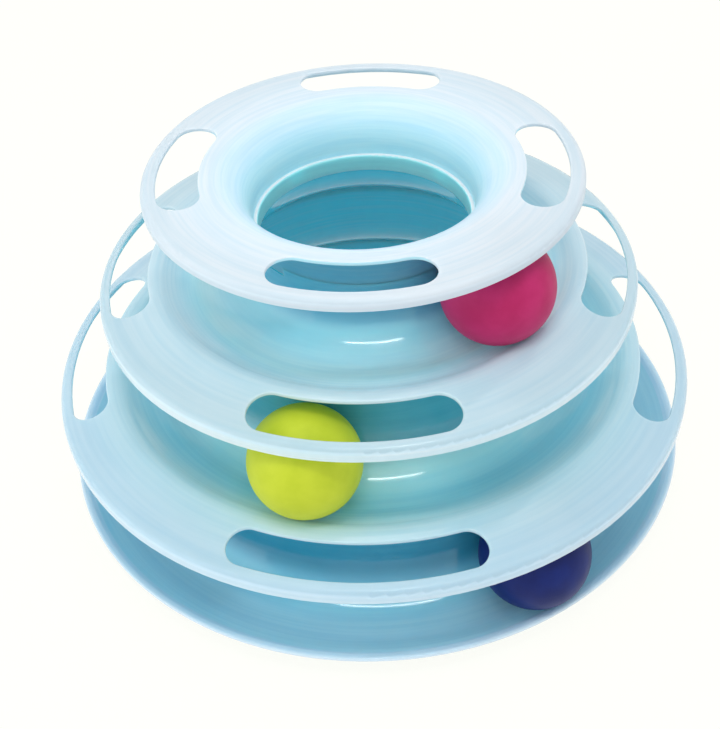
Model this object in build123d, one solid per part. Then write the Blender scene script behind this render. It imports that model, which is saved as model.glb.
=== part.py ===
from build123d import *
from math import acos, asin, cos, degrees, radians, sin
import os

# Cat ball track toy: four moulded rings stacked on plain spigots, with a loose ball in each of three tracks.
# Origin on the floor under the middle of the base, +Z up, the front slots towards -Y. All lengths in mm.

# Balls
ball_diameter = 40.0
ball_wall = 1.8
seam_tongue = 1.2
seam_gap = 0.1

# Air around a ball in its track, and above it up to the next trough's floor or to the top brim
ball_gap = 0.3
side_gap = 0.8
base_headroom = 1.0
headroom = 1.9
top_headroom = 1.5

# Walls of the mouldings and the fits between them
wall = 1.6
spigot_wall = 1.4
fit_gap = 0.2
spigot_length = 5.0
seat_land = 0.3
neck_straight = 1.3

# Plan sizes, from the well in the middle outwards
well_radius = 39.0
track_step = 22.0
trough_depth = 5.4
sill_radius = 8.0
brim_slope_deg = 13.0

# Base rim, flush with the lower tier's: its flat top and the sill inside it
base_rim_flat = 0.4
base_sill_radius = 2.8

# Trumpet mouth of the top tier
trumpet_run = 15.0
throat_height = 1.8

# Turned-down lips: inside radius of the bend, drop below the bend, and chamfer of the lower edges
lip_inside_round = 0.8
lip_straight = 3.2
top_lip_straight = 1.8
lip_chamfer = 0.4

# Paw slots of each tier: land left inside them, width, strip left outside them, sweep of their centre lines
slot_count = 4
lower_slot_land = 2.1
lower_slot_width = 13.8
lower_strip = 4.6
lower_sweep_deg = 38.8
upper_slot_land = 0.7
upper_slot_width = 14.7
upper_strip = 4.0
upper_sweep_deg = 36.5
top_slot_land = 2.8
top_slot_width = 15.1
top_strip = 5.5
top_sweep_deg = 35.3
slot_round = 0.5
round_limit_share = 1 / 3

# Lugs under each tier that drop into notches of the neck below and keep the slots in line
lug_count = 4
lug_width = 8.0
lug_height = 3.0
lug_gap = 0.3

# Anti-slip pads under the base
pad_count = 6
pad_diameter = 10.0
pad_thickness = 1.6
foot_land = 0.4
foot_width = 13.0

# Where the balls rest, in degrees from the front towards +X
pink_rest_deg = 48.7
yellow_rest_deg = -12.2
purple_rest_deg = 35.0

# Extra length of every cut beyond the face that it opens
overrun = 1.0

# Radii and slopes that follow from the sizes above
ball_radius = ball_diameter / 2
trough_radius = ball_radius + side_gap
lip_round = lip_inside_round + wall
tier_tilt_deg = degrees(acos(1 - trough_depth / (trough_radius + sill_radius)))
spigot_radius = well_radius + spigot_wall
upper_neck = spigot_radius + fit_gap + wall
upper_track = upper_neck + trough_radius
lower_track = upper_track + track_step
base_track_radius = lower_track + track_step
lower_neck = lower_track - trough_radius
base_neck = base_track_radius - trough_radius

# Heights that follow from the sizes above
ball_top = ball_gap + ball_diameter
base_floor = pad_thickness + foot_land + wall
lower_floor = base_floor + ball_top + base_headroom
upper_floor = lower_floor + ball_top + headroom
top_brim = upper_floor + ball_top + top_headroom + wall
lower_seat = lower_floor - wall - seat_land
upper_seat = upper_floor - wall - seat_land
top_seat = upper_floor + trough_radius + neck_straight
top_ledge = top_seat + wall
trumpet_drop = top_brim - top_ledge - throat_height


def ring(section):
    """Turns a flat section, drawn as radius and height, into a ring round the Z axis."""
    return revolve(Plane.XZ * section, Axis.Z)


def plate(inner, outer, low, high):
    """Rectangular section from one radius to another and from one height to another."""
    return Pos((inner + outer) / 2, (low + high) / 2) * Rectangle(outer - inner, high - low)


def sill_middle(track, floor, sill, tilt_deg):
    """Centre of the sill's arc, which meets the trough's arc where that has risen to a tilt."""
    reach = trough_radius + sill
    angle = radians(tilt_deg)
    return (track + reach * sin(angle), floor + trough_radius - reach * cos(angle))


def slope_point(middle, radius, slope_deg):
    """Point of a circle where it meets a line that falls outwards at this slope."""
    angle = radians(slope_deg)
    return (middle[0] + radius * sin(angle), middle[1] + radius * cos(angle))


def track_edges(track, floor, neck_top, sill, tilt_deg, slope_deg, below):
    """Neck, trough and sill as one smooth line, at a distance below the running surface."""
    middle = floor + trough_radius
    neck = track - trough_radius - below
    hub = sill_middle(track, floor, sill, tilt_deg)
    return [
        Line((neck, neck_top), (neck, middle)),
        CenterArc((track, middle), trough_radius + below, 180, 90 + tilt_deg),
        CenterArc(hub, sill - below, 90 - slope_deg, tilt_deg + slope_deg),
    ]


def lip_middle(hub, sill, slope_deg, rim):
    """Centre of the bend of a lip, for a brim that starts tangent to the sill's arc round a hub."""
    angle = radians(slope_deg)
    across = rim - lip_round - hub[0]
    return (rim - lip_round, hub[1] + (sill - lip_round - across * sin(angle)) / cos(angle))


def brim_edges(hub, sill, slope_deg, rim, straight):
    """Both faces of a brim with its turned-down lip, and the lip's chamfered lower end."""
    middle = lip_middle(hub, sill, slope_deg, rim)
    end = middle[1] - straight
    low = end + lip_chamfer
    end_out = (rim - lip_chamfer, end)
    end_in = (rim - wall + lip_chamfer, end)
    edges = [Line((rim, low), end_out), Line(end_out, end_in), Line(end_in, (rim - wall, low))]
    for below in (0, wall):
        side = rim - below
        bend = lip_round - below
        edges += [
            Line(slope_point(hub, sill - below, slope_deg), slope_point(middle, bend, slope_deg)),
            CenterArc(middle, bend, 0, 90 - slope_deg),
            Line((side, middle[1]), (side, low)),
        ]
    return edges


def track_section(trough, outside):
    """Wall of a track ring: neck, trough and sill, closed on the outside by the edges given."""
    neck = trough[0] - trough_radius
    neck_top = trough[2]
    neck_end = Line((neck - wall, neck_top), (neck, neck_top))
    return make_face(track_edges(*trough, 0) + track_edges(*trough, wall) + outside + [neck_end])


def channel_section(track, floor, neck_top, sill, tilt_deg, slope_deg):
    """Free space over a trough, out to the end of the sill's arc."""
    start = slope_point(sill_middle(track, floor, sill, tilt_deg), sill, slope_deg)
    corner = (start[0], neck_top)
    edges = track_edges(track, floor, neck_top, sill, tilt_deg, slope_deg, 0)
    return make_face(edges + [Line(start, corner), Line(corner, (track - trough_radius, neck_top))])


def socket_section(neck, seat, high):
    """Spigot that enters a neck, and the flat land that rests on the neck's top edge."""
    outside = neck - wall - fit_gap
    inside = outside - spigot_wall
    return plate(inside, outside, seat - spigot_length, high) + plate(inside, neck, seat, high)


def turned_piece(inner, outer, low, high, width, gap):
    """Short piece of ring, centred on the X axis, with its width measured at the outer radius."""
    sweep = degrees((width + gap * 2) / outer)
    piece = revolve(Plane.XZ * plate(inner, outer, low, high), Axis.Z, sweep)
    return Rot(0, 0, -sweep / 2) * piece


def around(piece, count, first_deg):
    """Copies of a piece, evenly spaced round the Z axis."""
    return [Rot(0, 0, first_deg + index * 360 / count) * piece for index in range(count)]


def with_lugs(body, neck, seat):
    """Adds the locating lugs beside a spigot."""
    inside = neck - wall - fit_gap - spigot_wall / 2
    lug = turned_piece(inside, neck - fit_gap, seat - lug_height, seat + seat_land, lug_width, 0)
    return body + around(lug, lug_count, 180 / lug_count)


def with_notches(body, neck, seat):
    """Cuts the notches that take the lugs of the tier above."""
    low = seat - lug_height - lug_gap
    notch = turned_piece(neck - wall - overrun, neck + overrun, low, seat + overrun, lug_width, lug_gap)
    return body - around(notch, lug_count, 180 / lug_count)


def with_slots(body, inner, width, sweep_deg, low, high):
    """Cuts the paw slots through a brim, between two heights, and rounds their edges."""
    outer = inner + width
    line = CenterArc((0, 0), (inner + outer) / 2, -sweep_deg / 2, sweep_deg)
    slot = Pos(0, 0, low) * extrude(SlotArc(line, width), high - low)
    cut = body - around(slot, slot_count, -90)

    def on_slot(edge):
        point = edge.center()
        radius = (point.X**2 + point.Y**2) ** 0.5
        return low < point.Z < high and inner - fit_gap < radius < outer + fit_gap

    rounded = cut.edges().filter_by(GeomType.LINE, reverse=True).filter_by(on_slot)
    return fillet(rounded, min(slot_round, wall * round_limit_share))


def brim_start(track):
    """Radius where a tier's sill goes over into its brim."""
    hub = sill_middle(track, 0, sill_radius, tier_tilt_deg)
    return slope_point(hub, sill_radius, brim_slope_deg)[0]


def make_tier(track, floor, neck_top, seat, seat_neck, slot_land, slot_width, strip, sweep_deg):
    """Track ring with paw slots, seated on the neck below and notched for the tier above."""
    hub = sill_middle(track, floor, sill_radius, tier_tilt_deg)
    inner = brim_start(track) + slot_land
    rim = inner + slot_width + strip
    trough = (track, floor, neck_top, sill_radius, tier_tilt_deg, brim_slope_deg)
    shell = track_section(trough, brim_edges(hub, sill_radius, brim_slope_deg, rim, lip_straight))
    crest = floor + trough_depth
    socket = socket_section(seat_neck, seat, crest) - channel_section(*trough)
    body = with_lugs(ring(shell + socket), seat_neck, seat)
    body = with_notches(body, track - trough_radius, neck_top)
    low = lip_middle(hub, sill_radius, brim_slope_deg, rim)[1]
    return with_slots(body, inner, slot_width, sweep_deg, low, crest + overrun)


def make_base():
    """Lowest ring: trough with a low rounded rim, a neck for the lower tier and a flat foot."""
    rim = brim_start(lower_track) + lower_slot_land + lower_slot_width + lower_strip
    rim_middle = rim - wall / 2
    crest_radius = rim_middle - base_rim_flat
    tilt_deg = degrees(asin((crest_radius - base_track_radius) / (trough_radius + base_sill_radius)))
    crest = sill_middle(base_track_radius, base_floor, base_sill_radius, tilt_deg)[1] + base_sill_radius
    rim_edges = [
        Line((crest_radius, crest), (rim_middle, crest)),
        CenterArc((rim_middle, crest - wall / 2), wall / 2, -90, 180),
        Line((rim_middle, crest - wall), (crest_radius, crest - wall)),
    ]
    trough = (base_track_radius, base_floor, lower_seat, base_sill_radius, tilt_deg, 0)
    shell = track_section(trough, rim_edges)
    foot_in = base_track_radius - foot_width / 2
    foot_out = base_track_radius + foot_width / 2
    foot = plate(foot_in, foot_out, pad_thickness, crest) - channel_section(*trough)
    return with_notches(ring(shell + foot), base_neck, lower_seat)


def make_top():
    """Flat top brim with its trumpet mouth, ledge and spigot."""
    throat = upper_neck - wall
    mouth = throat + trumpet_run
    inner = mouth + top_slot_land
    rim = inner + top_slot_width + top_strip
    flare_middle = (mouth, top_brim - trumpet_drop)
    edges = brim_edges((mouth, top_brim), 0, 0, rim, top_lip_straight)
    for below in (0, wall):
        flare = EllipticalCenterArc(flare_middle, trumpet_run - below, trumpet_drop - below, 90, arc_size=90)
        edges += [flare, Line((throat + below, top_seat), (throat + below, flare_middle[1]))]
    shell = make_face(edges + [Line((throat, top_seat), (upper_neck, top_seat))])
    body = ring(shell + socket_section(upper_neck, top_seat, top_ledge))
    inside_edge = body.edges().filter_by(GeomType.CIRCLE).sort_by(Axis.Z).filter_by(
        lambda edge: abs(edge.radius - well_radius) < fit_gap
    )[-1]
    body = with_lugs(fillet(inside_edge, spigot_wall / 2), upper_neck, top_seat)
    low = top_brim - lip_round
    return with_slots(body, inner, top_slot_width, top_sweep_deg, low, top_brim + overrun)


def half_ball(sign):
    """One half shell of a ball about its own centre: the upper one for +1, the lower one for -1."""
    inside = ball_radius - ball_wall
    step = ball_radius - ball_wall / 2
    start = 0 if sign > 0 else -90
    edges = [
        CenterArc((0, 0), ball_radius, start, 90),
        CenterArc((0, 0), inside, start, 90),
        Line((inside, 0), (ball_radius, 0)),
        Line((0, sign * inside), (0, sign * ball_radius)),
    ]
    half = ring(make_face(edges))
    if sign > 0:
        return half - Cylinder(step, (seam_tongue + seam_gap) * 2)
    return half + ring(plate(inside, step - seam_gap, -seam_gap, seam_tongue))


def in_track(piece, track, floor, rest_deg):
    """Places a ball's piece in its track."""
    angle = radians(rest_deg)
    height = floor + ball_gap + ball_radius
    return Pos(track * sin(angle), -track * cos(angle), height) * piece


def make_pad(index):
    """Round pad under the base's foot."""
    disc = Cylinder(pad_diameter / 2, pad_thickness, align=(Align.CENTER, Align.CENTER, Align.MIN))
    return Rot(0, 0, index * 360 / pad_count) * Pos(base_track_radius, 0, 0) * disc


lower_slots = (lower_slot_land, lower_slot_width, lower_strip, lower_sweep_deg)
upper_slots = (upper_slot_land, upper_slot_width, upper_strip, upper_sweep_deg)
nodes = {
    "base_track": make_base(),
    "lower_tier": make_tier(lower_track, lower_floor, upper_seat, lower_seat, base_neck, *lower_slots),
    "upper_tier": make_tier(upper_track, upper_floor, top_seat, upper_seat, lower_neck, *upper_slots),
    "top_tier": make_top(),
}
balls = {
    "pink": (upper_track, upper_floor, pink_rest_deg),
    "yellow": (lower_track, lower_floor, yellow_rest_deg),
    "purple": (base_track_radius, base_floor, purple_rest_deg),
}
for colour, place in balls.items():
    nodes[f"{colour}_ball_upper_half"] = in_track(half_ball(1), *place)
    nodes[f"{colour}_ball_lower_half"] = in_track(half_ball(-1), *place)
for index in range(pad_count):
    nodes[f"anti_slip_pad_{index + 1}"] = make_pad(index)

os.makedirs("parts", exist_ok=True)
for name, solid in nodes.items():
    export_step(solid, f"parts/{name}.step")
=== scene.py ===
import math

import bpy
from mathutils import Matrix, Vector


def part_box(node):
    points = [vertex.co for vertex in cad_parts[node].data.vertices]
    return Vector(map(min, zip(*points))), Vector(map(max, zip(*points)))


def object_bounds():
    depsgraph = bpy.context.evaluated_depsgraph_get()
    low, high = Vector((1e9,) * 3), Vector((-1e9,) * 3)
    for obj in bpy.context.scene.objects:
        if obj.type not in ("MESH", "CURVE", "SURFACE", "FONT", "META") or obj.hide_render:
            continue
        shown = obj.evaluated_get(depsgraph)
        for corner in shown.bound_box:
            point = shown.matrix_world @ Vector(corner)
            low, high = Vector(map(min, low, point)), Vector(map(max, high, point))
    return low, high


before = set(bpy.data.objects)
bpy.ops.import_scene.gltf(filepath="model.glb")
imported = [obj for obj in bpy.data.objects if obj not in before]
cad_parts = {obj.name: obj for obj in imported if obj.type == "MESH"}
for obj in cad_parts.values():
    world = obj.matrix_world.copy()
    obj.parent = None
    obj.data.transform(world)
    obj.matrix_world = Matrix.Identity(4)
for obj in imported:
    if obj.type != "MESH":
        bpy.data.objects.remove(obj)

# Looks of the cat ball track toy: satin pale-blue mouldings, matte balls, rubber pads, soft studio light.
# Every length is in metres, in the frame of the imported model.
cad_low, cad_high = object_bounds()

# Camera: its place and aim about the middle of the top brim
IMAGE_HEIGHT_PX = 729
FOCAL_PX = 1178.4
SENSOR_MM = 36.0
CAMERA_NEAR = 0.01
CAMERA_DISTANCE = 0.425
CAMERA_AZIMUTH_DEG = 4.6
CAMERA_ELEVATION_DEG = 31.49
CAMERA_PITCH_DEG = 41.09
CAMERA_YAW_DEG = 0.78
CAMERA_ROLL_DEG = 3.55

# Light from all round, and the three lamps
AMBIENT = 0.81
AMBIENT_TINT = (0.97, 1.0, 1.07, 1.0)
TOP_PLACE = (0.03, 0.06, 0.75)
TOP_SIZE = (0.5, 0.5)
TOP_POWER = 0.8
GLINT_PLACE = (0.03, -0.22, 0.6)
GLINT_SIZE = (0.28, 0.014)
GLINT_POWER = 0.5
FILL_PLACE = (-0.62, -0.3, 0.25)
FILL_SIZE = (0.5, 0.5)
FILL_POWER = 0.8

# Backdrop and floor. The floor's white is seen by the share FLOOR_GLOW, over its paint
WHITE = (1.0, 1.0, 0.94, 1.0)
FLOOR_REACH = 4.0
FLOOR_PAINT = (0.9, 0.9, 0.9, 1.0)
FLOOR_WHITE_STRENGTH = 1.04
FLOOR_GLOW = 0.88
# Room under the pads, so that no face of theirs lies in the floor's plane
FLOOR_GAP = 0.0002


def colour(red, green, blue):
    """Linear colour from sRGB values of 0 to 255."""
    linear = []
    for value in (red, green, blue):
        share = value / 255
        linear.append(((share + 0.055) / 1.055) ** 2.4 if value > 10 else share / 12.92)
    return (*linear, 1.0)


# Tones of the track rings: neck, cove, trough, land inside the slots, strip outside them, and lip. The
# neck is painted shade beneath the tier above, the strip is painted shade, the lip is a painted highlight
# on the rolled edge, and cove and trough are set per ring lighter or darker as painted light and shade
TRACK_TONES_AND_PAINTED_LIGHT = {
    "base_track": (
        colour(54, 160, 186), colour(138, 218, 238), colour(170, 218, 232),
        colour(188, 224, 236), colour(204, 226, 240), colour(216, 232, 246),
    ),
    "lower_tier": (
        colour(84, 178, 192), colour(194, 250, 255), colour(152, 218, 230),
        colour(199, 227, 232), colour(190, 214, 223), colour(216, 236, 246),
    ),
    "upper_tier": (
        colour(92, 180, 202), colour(168, 229, 239), colour(204, 246, 255),
        colour(208, 228, 233), colour(194, 214, 219), colour(226, 244, 252),
    ),
}
# Tones of the top ring: wall of the well, ledge, funnel, mouth, brim and strip. The ledge is a painted
# highlight on the edge of the throat, and the strip is painted shade
TOP_TONES_AND_PAINTED_LIGHT = (
    colour(168, 250, 255), colour(240, 255, 255), colour(198, 238, 252),
    colour(210, 231, 243), colour(218, 227, 231), colour(211, 219, 222),
)
# Tones of hidden sides: back of the funnel and sides turned to the well, both painted shade, and
# undersides
FUNNEL_BACK_SHADE = colour(86, 166, 188)
INSIDE_SHADE = colour(14, 226, 252)
UNDER = colour(190, 230, 240)

# Where the tones of a track change, from its middle line outwards, in radii of its ball
NECK_END = -0.95
COVE = -0.7
LAND = 0.65
INSIDE_START = -1.0
INSIDE_END = 0.2
UNDER_START = 0.4
# Where the tones of the rims change, measured in from the edge
STRIP = 0.0046
LIP = 0.0005
# Room between a ball and the neck inside its track
NECK_GAP = 0.0008
# Radii on the top ring: wall of the well, and throat and mouth of the funnel
WELL = 0.0390
THROAT = 0.0406
MOUTH = 0.0556
# Start and end of sharp changes of tone: before the neck, past the wall of the well, and before the throat
NECK_CHANGE = (0.0003, 0.0001)
WELL_CHANGE = (0.0002, 0.0005)
THROAT_CHANGE = (0.0002, 0.0001)

# The side of a ring that shows turns up, and outwards on the tracks or inwards on the top ring
OUTWARDS = 1.0
INWARDS = -1.0
# How far a face turns from that side, and how far down, before its tone starts to change and has changed
HIDDEN_TURN = (-0.2, -0.6)
DOWN_TURN = (-0.6, -0.9)

# Flow marks that run round the rings: bright streaks on hidden sides, and darker marks on all
FLOW_RATE = 420.0
FLOW_SCALE = 1.6
FLOW_DETAIL = 2.0
STREAK = (0.05, 0.04, 0.02, 1.0)
STREAK_SPAN = (0.4, 0.7)
MARK = (0.62, 0.82, 0.90, 1.0)
MARK_SPAN = (0.3, 0.72)
MARK_SHARE = 0.34
# Soft cloud over the rings
CLOUD = (0.8, 0.9, 0.95, 1.0)
CLOUD_SCALE = 28.0
CLOUD_SHARE = (-0.05, 0.10)

# Surface of the rings: least and most roughness and its scale, how light scatters below the surface,
# and scale, depth and strength of the grain
TRACK_ROUGHNESS = (0.07, 0.15)
TOP_ROUGHNESS = (0.34, 0.48)
ROUGHNESS_SCALE = 160.0
SCATTER_SHARE = 1.0
SCATTER_RADIUS = (1.0, 1.0, 1.0)
SCATTER_DEPTH = 0.003
RING_GRAIN = (1400.0, 0.00002, 0.2)
GRAIN_DETAIL = 2.0

# Tones of the balls and pads: base and darker mottle
BALL_TONES = {
    "pink": (colour(194, 40, 104), colour(182, 30, 92)),
    "yellow": (colour(206, 218, 52), colour(196, 210, 44)),
    "purple": (colour(10, 34, 108), colour(6, 26, 94)),
}
RUBBER_TONES = (colour(176, 182, 186), colour(150, 156, 162))
MOTTLE_SCALE = 90.0
MOTTLE_DETAIL = 4.0
MOTTLE_SPAN = (0.35, 0.7)
# Surface of the balls and pads: roughness, and scale and depth of grain
BALL_FINISH = (0.5, 900.0, 0.00004)
RUBBER_FINISH = (0.75, 1800.0, 0.00008)
MATTE_SPECULAR = 0.25
MATTE_ROUGHNESS_SCALE = 240.0
MATTE_ROUGHNESS_SPREAD = (-0.06, 0.08)
MATTE_GRAIN_STRENGTH = 0.4


def add(tree, kind, inputs=None, **settings):
    """Adds a node, sets its properties, and links or sets its inputs."""
    node = tree.nodes.new(kind)
    for key, value in settings.items():
        setattr(node, key, value)
    for key, value in (inputs or {}).items():
        if isinstance(value, bpy.types.NodeSocket):
            tree.links.new(value, node.inputs[key])
        else:
            node.inputs[key].default_value = value
    return node


def sum_of(tree, operation, first, second):
    """Result of one sum."""
    return add(tree, "ShaderNodeMath", {0: first, 1: second}, operation=operation).outputs[0]


def vector_sum(tree, operation, first, second=(0, 0, 0), output=0):
    """Result of one vector sum."""
    return add(tree, "ShaderNodeVectorMath", {0: first, 1: second}, operation=operation).outputs[output]


def smooth(tree, value, low, high):
    """Smooth step from 0 at low to 1 at high."""
    inputs = {"Value": value, "From Min": low, "From Max": high}
    return add(tree, "ShaderNodeMapRange", inputs, interpolation_type="SMOOTHSTEP").outputs[0]


def spread(tree, value, low, high):
    """Turns 0 to 1 into low to high."""
    return add(tree, "ShaderNodeMapRange", {"Value": value, "To Min": low, "To Max": high}).outputs[0]


def mixed_colour(tree, share, first, second, mode="MIX"):
    """Mix of two colours, by the node's sockets for colours."""
    inputs = {"Factor": share, 6: first, 7: second}
    return add(tree, "ShaderNodeMix", inputs, data_type="RGBA", blend_type=mode).outputs[2]


def noise(tree, place, scale, detail=3.0):
    """Soft random pattern, 0 to 1."""
    return add(tree, "ShaderNodeTexNoise", {"Vector": place, "Scale": scale, "Detail": detail}).outputs[0]


def ramp(tree, value, stops):
    """Colour that runs through stops of (value, colour)."""
    low, high = stops[0][0], stops[-1][0]
    share = add(tree, "ShaderNodeMapRange", {"Value": value, "From Min": low, "From Max": high}).outputs[0]
    node = add(tree, "ShaderNodeValToRGB", {"Fac": share})
    node.color_ramp.interpolation = "EASE"
    elements = node.color_ramp.elements
    # Elements are first added half way along, then put in their places
    while len(elements) < len(stops):
        elements.new(0.5)
    for element, (at, tone) in zip(elements, stops):
        element.position = (at - low) / (high - low)
        element.color = tone
    return node.outputs[0]


def roughen(tree, shader, place, scale, depth, strength):
    """Fine grain on the surface."""
    grain = noise(tree, place, scale, GRAIN_DETAIL)
    bump = add(tree, "ShaderNodeBump", {"Height": grain, "Distance": depth, "Strength": strength})
    tree.links.new(bump.outputs[0], shader.inputs["Normal"])


def empty_tree(owner):
    """Node tree of a material or world, with no nodes in it."""
    owner.use_nodes = True
    owner.node_tree.nodes.clear()
    return owner.node_tree


def new_material(name):
    """Node material with its shader, and the coordinates of its object."""
    material = bpy.data.materials.new(name)
    tree = empty_tree(material)
    shader = add(tree, "ShaderNodeBsdfPrincipled")
    add(tree, "ShaderNodeOutputMaterial", {"Surface": shader.outputs[0]})
    return material, tree, shader, add(tree, "ShaderNodeTexCoord")


def ring_plastic(name, stops, hidden_stops, turned, rough):
    """Satin blue plastic of a ring, with tones for the side that shows and for the side turned away, which
    carry painted light and shade.
    """
    material, tree, shader, coords = new_material(name)
    place = coords.outputs["Object"]
    normal = coords.outputs["Normal"]
    level = vector_sum(tree, "MULTIPLY", place, (1, 1, 0))
    radius = vector_sum(tree, "LENGTH", level, output="Value")
    outward = vector_sum(tree, "NORMALIZE", level)
    out_share = vector_sum(tree, "DOT_PRODUCT", normal, outward, output="Value")
    up_share = add(tree, "ShaderNodeSeparateXYZ", {0: normal}).outputs["Z"]
    facing = sum_of(tree, "ADD", up_share, sum_of(tree, "MULTIPLY", out_share, turned))
    # Flow marks run round the ring, clearest on the hidden side, and a soft cloud lies over all
    height = add(tree, "ShaderNodeSeparateXYZ", {0: place}).outputs["Z"]
    along = sum_of(tree, "MULTIPLY", sum_of(tree, "ADD", radius, height), FLOW_RATE)
    pattern = {"Vector": outward, "W": along, "Scale": FLOW_SCALE, "Detail": FLOW_DETAIL}
    flow = add(tree, "ShaderNodeTexNoise", pattern, noise_dimensions="4D").outputs[0]
    # Faces turned away take the hidden tones: painted shade inside the well and on the back of the funnel,
    # and the pale undersides
    down = smooth(tree, up_share, *DOWN_TURN)
    hidden_shade_and_underside = mixed_colour(tree, down, ramp(tree, radius, hidden_stops), UNDER)
    streaked = mixed_colour(tree, smooth(tree, flow, *STREAK_SPAN), hidden_shade_and_underside, STREAK, "ADD")
    hidden = smooth(tree, facing, *HIDDEN_TURN)
    tone = mixed_colour(tree, hidden, ramp(tree, radius, stops), streaked)
    marks = sum_of(tree, "MULTIPLY", smooth(tree, flow, *MARK_SPAN), MARK_SHARE)
    tone = mixed_colour(tree, marks, tone, MARK, "MULTIPLY")
    cloud = spread(tree, noise(tree, place, CLOUD_SCALE), *CLOUD_SHARE)
    tone = mixed_colour(tree, cloud, tone, CLOUD)
    tree.links.new(tone, shader.inputs["Base Color"])
    gloss = spread(tree, noise(tree, place, ROUGHNESS_SCALE), *rough)
    tree.links.new(gloss, shader.inputs["Roughness"])
    shader.inputs["Subsurface Weight"].default_value = SCATTER_SHARE
    shader.inputs["Subsurface Radius"].default_value = SCATTER_RADIUS
    shader.inputs["Subsurface Scale"].default_value = SCATTER_DEPTH
    roughen(tree, shader, place, *RING_GRAIN)
    return material


def mottled(name, tones, rough, grain_scale, grain_depth):
    """Matte moulded surface with a soft mottle and a fine grain."""
    material, tree, shader, coords = new_material(name)
    shader.inputs["Specular IOR Level"].default_value = MATTE_SPECULAR
    place = coords.outputs["Object"]
    share = smooth(tree, noise(tree, place, MOTTLE_SCALE, MOTTLE_DETAIL), *MOTTLE_SPAN)
    tree.links.new(mixed_colour(tree, share, *tones), shader.inputs["Base Color"])
    least, most = (rough + change for change in MATTE_ROUGHNESS_SPREAD)
    gloss = spread(tree, noise(tree, place, MATTE_ROUGHNESS_SCALE), least, most)
    tree.links.new(gloss, shader.inputs["Roughness"])
    roughen(tree, shader, place, grain_scale, grain_depth, MATTE_GRAIN_STRENGTH)
    return material


def dress(node, material):
    """Gives a CAD node its material."""
    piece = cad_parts[node]
    piece.data.materials.clear()
    piece.data.materials.append(material)


def dress_tracks():
    """Blue plastic of the three track rings, with tones placed by the balls' tracks and the rims, which
    paint shade on the neck and strip and a highlight on the lip.
    """
    for ring, ball in (("base_track", "purple"), ("lower_tier", "yellow"), ("upper_tier", "pink")):
        low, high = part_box(f"{ball}_ball_upper_half")
        orbit = math.hypot(low.x + high.x, low.y + high.y) / 2
        reach = (high.x - low.x) / 2
        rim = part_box(ring)[1].x
        neck_shade, cove, trough, land, strip_shade, lip_highlight = TRACK_TONES_AND_PAINTED_LIGHT[ring]
        inner = orbit - reach - NECK_GAP
        change_start, change_end = NECK_CHANGE
        # The neck tone is painted shade, the strip tone painted shade and the lip tone a painted highlight
        stops = [
            (inner - change_start, INSIDE_SHADE), (inner - change_end, neck_shade), (orbit + reach * NECK_END, neck_shade),
            (orbit + reach * COVE, cove), (orbit, trough), (orbit + reach * LAND, land),
            (rim - STRIP, strip_shade), (rim - LIP, strip_shade), (rim, lip_highlight),
        ]
        hidden_stops = [
            (orbit + reach * INSIDE_START, INSIDE_SHADE), (orbit + reach * INSIDE_END, INSIDE_SHADE),
            (orbit + reach * UNDER_START, UNDER), (rim, UNDER),
        ]
        dress(ring, ring_plastic(ring, stops, hidden_stops, OUTWARDS, TRACK_ROUGHNESS))


def dress_top():
    """Blue plastic of the top ring, with tones placed by the well, the funnel and the rim, with a painted
    highlight on the ledge and painted shade on the strip, the funnel's back and the well.
    """
    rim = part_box("top_tier")[1].x
    half_way = (THROAT + MOUTH) / 2
    wall, ledge_highlight, funnel, mouth, brim, strip_shade = TOP_TONES_AND_PAINTED_LIGHT
    wall_end, ledge_start = (WELL + change for change in WELL_CHANGE)
    ledge_end, funnel_start = (THROAT - change for change in THROAT_CHANGE)
    # The ledge tone is a painted highlight and the strip tone painted shade
    stops = [
        (WELL, wall), (wall_end, wall), (ledge_start, ledge_highlight), (ledge_end, ledge_highlight),
        (funnel_start, funnel), (half_way, mouth), (MOUTH, brim),
        (rim - STRIP, strip_shade), (rim - LIP, strip_shade), (rim, brim),
    ]
    hidden_stops = [
        (WELL, FUNNEL_BACK_SHADE), (half_way, FUNNEL_BACK_SHADE), (MOUTH, UNDER), (rim - STRIP, UNDER), (rim, brim),
    ]
    dress("top_tier", ring_plastic("top_tier", stops, hidden_stops, INWARDS, TOP_ROUGHNESS))


def dress_balls_and_pads():
    """Matte balls and rubber pads."""
    for ball, tones in BALL_TONES.items():
        matte = mottled(f"{ball}_plastic", tones, *BALL_FINISH)
        for half in ("upper", "lower"):
            dress(f"{ball}_ball_{half}_half", matte)
    rubber = mottled("pad_rubber", RUBBER_TONES, *RUBBER_FINISH)
    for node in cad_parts:
        if node.startswith("anti_slip_pad"):
            dress(node, rubber)


def new_object(name, data):
    """Object of the scene, with the data given."""
    thing = bpy.data.objects.new(name, data)
    bpy.context.scene.collection.objects.link(thing)
    return thing


def add_camera():
    """Camera at the viewing angle of the photograph."""
    data = bpy.data.cameras.new("photo_camera")
    data.sensor_width = SENSOR_MM
    data.lens = FOCAL_PX * SENSOR_MM / IMAGE_HEIGHT_PX
    data.clip_start = CAMERA_NEAR
    camera = new_object("photo_camera", data)
    rise = math.radians(CAMERA_ELEVATION_DEG)
    place = Matrix.Translation((0, -CAMERA_DISTANCE * math.cos(rise), CAMERA_DISTANCE * math.sin(rise)))
    aim = (
        Matrix.Rotation(math.radians(CAMERA_YAW_DEG), 4, "Z")
        @ Matrix.Rotation(math.radians(90 - CAMERA_PITCH_DEG), 4, "X")
        @ Matrix.Rotation(math.radians(-CAMERA_ROLL_DEG), 4, "Z")
    )
    turn = Matrix.Rotation(math.radians(CAMERA_AZIMUTH_DEG), 4, "Z")
    camera.matrix_world = Matrix.Translation((0, 0, cad_high.z)) @ turn @ place @ aim
    bpy.context.scene.camera = camera


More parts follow.
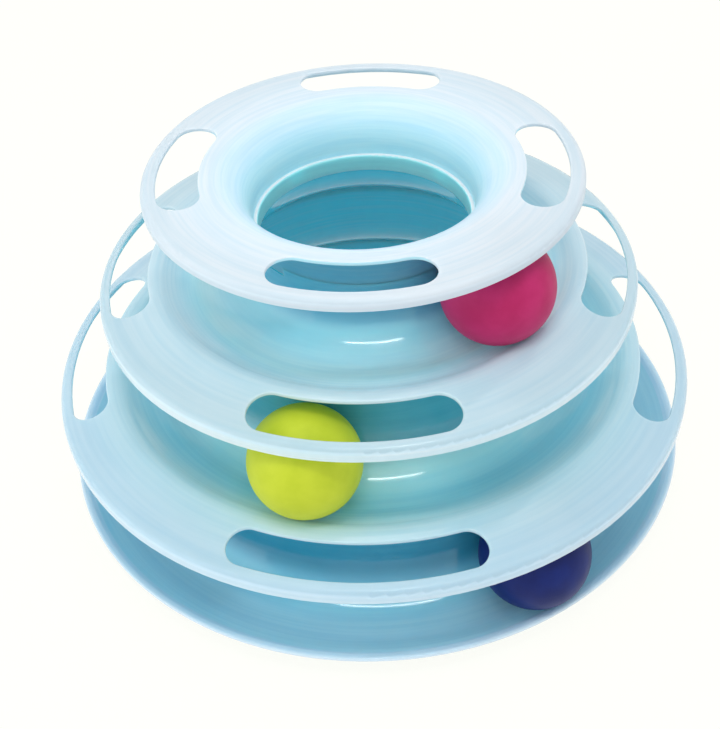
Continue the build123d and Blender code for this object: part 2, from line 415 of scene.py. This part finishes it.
def add_light(name, place, size, power, aim):
    """Oblong soft light that faces a point."""
    data = bpy.data.lights.new(name, "AREA")
    data.shape = "RECTANGLE"
    data.size, data.size_y = size
    data.energy = power
    light = new_object(name, data)
    light.location = place
    light.rotation_euler = (Vector(aim) - Vector(place)).to_track_quat("-Z", "Y").to_euler()


def seen_share(tree):
    """1 for rays from the camera and for those that mirrors and glass pass on, else 0."""
    path = add(tree, "ShaderNodeLightPath").outputs
    seen = sum_of(tree, "MAXIMUM", path["Is Camera Ray"], path["Is Glossy Ray"])
    return sum_of(tree, "MAXIMUM", seen, path["Is Transmission Ray"])


def add_floor():
    """White floor that keeps a faint shadow."""
    mesh = bpy.data.meshes.new("floor")
    corners = [(x * FLOOR_REACH, y * FLOOR_REACH, 0) for x, y in ((-1, -1), (1, -1), (1, 1), (-1, 1))]
    mesh.from_pydata(corners, [], [(0, 1, 2, 3)])
    floor = new_object("floor", mesh)
    floor.location.z = -FLOOR_GAP
    material = bpy.data.materials.new("floor_white")
    tree = empty_tree(material)
    paint = add(tree, "ShaderNodeBsdfDiffuse", {"Color": FLOOR_PAINT})
    glow = add(tree, "ShaderNodeEmission", {"Color": WHITE, "Strength": FLOOR_WHITE_STRENGTH})
    share = sum_of(tree, "MULTIPLY", seen_share(tree), FLOOR_GLOW)
    mixed = add(tree, "ShaderNodeMixShader", {0: share, 1: paint.outputs[0], 2: glow.outputs[0]})
    add(tree, "ShaderNodeOutputMaterial", {"Surface": mixed.outputs[0]})
    mesh.materials.append(material)


def add_world():
    """Even studio light from all round, seen as white."""
    world = bpy.data.worlds.new("studio")
    bpy.context.scene.world = world
    tree = empty_tree(world)
    ambient = add(tree, "ShaderNodeBackground", {"Color": AMBIENT_TINT, "Strength": AMBIENT})
    white = add(tree, "ShaderNodeBackground", {"Color": WHITE, "Strength": 1.0})
    shaders = {0: seen_share(tree), 1: ambient.outputs[0], 2: white.outputs[0]}
    mixed = add(tree, "ShaderNodeMixShader", shaders)
    add(tree, "ShaderNodeOutputWorld", {"Surface": mixed.outputs[0]})


dress_tracks()
dress_top()
dress_balls_and_pads()
add_camera()
add_floor()
add_world()
add_light("top", TOP_PLACE, TOP_SIZE, TOP_POWER, (0, 0, cad_high.z))
add_light("glint", GLINT_PLACE, GLINT_SIZE, GLINT_POWER, (0, 0, cad_high.z))
add_light("fill", FILL_PLACE, FILL_SIZE, FILL_POWER, (0, 0, cad_high.z / 2))
bpy.context.scene.view_settings.view_transform = "Standard"
